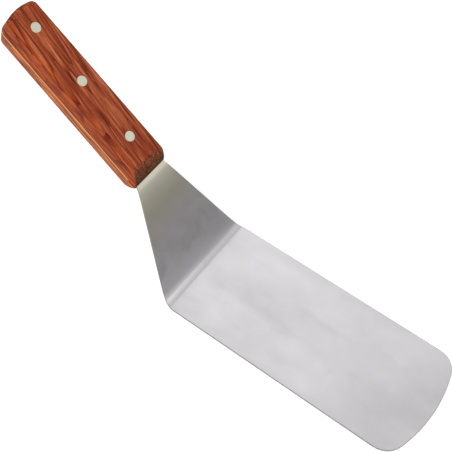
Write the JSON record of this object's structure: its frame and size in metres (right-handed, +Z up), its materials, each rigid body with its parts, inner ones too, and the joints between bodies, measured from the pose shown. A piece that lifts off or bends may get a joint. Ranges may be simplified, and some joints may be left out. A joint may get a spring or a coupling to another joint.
{
  "type": "grill spatula",
  "caption": "Grill turner with a flat round-cornered blade, a steep tapering neck, and a raised wooden handle riveted to a full-length tang.",
  "frame": {"origin": "middle of the bounding box, at the underside of the flat blade", "axes": "+X from the handle towards the blade's front edge, +Z up from the surface the blade lies on, +Y to the left across the blade"},
  "size_m": [0.3092, 0.077, 0.1425],
  "materials": {
    "stainless_sheet": "fine satin",
    "handle_wood": "oiled reddish hardwood",
    "rivet_metal": "satin"
  },
  "bodies": {
    "root": {"blade": "stainless_sheet", "handle_scale_upper": "handle_wood", "handle_scale_lower": "handle_wood", "rivet_pin_front": "rivet_metal", "rivet_pin_middle": "rivet_metal", "rivet_pin_rear": "rivet_metal", "rivet_barrel_front": "rivet_metal", "rivet_barrel_middle": "rivet_metal", "rivet_barrel_rear": "rivet_metal"}
  },
  "joints": []
}
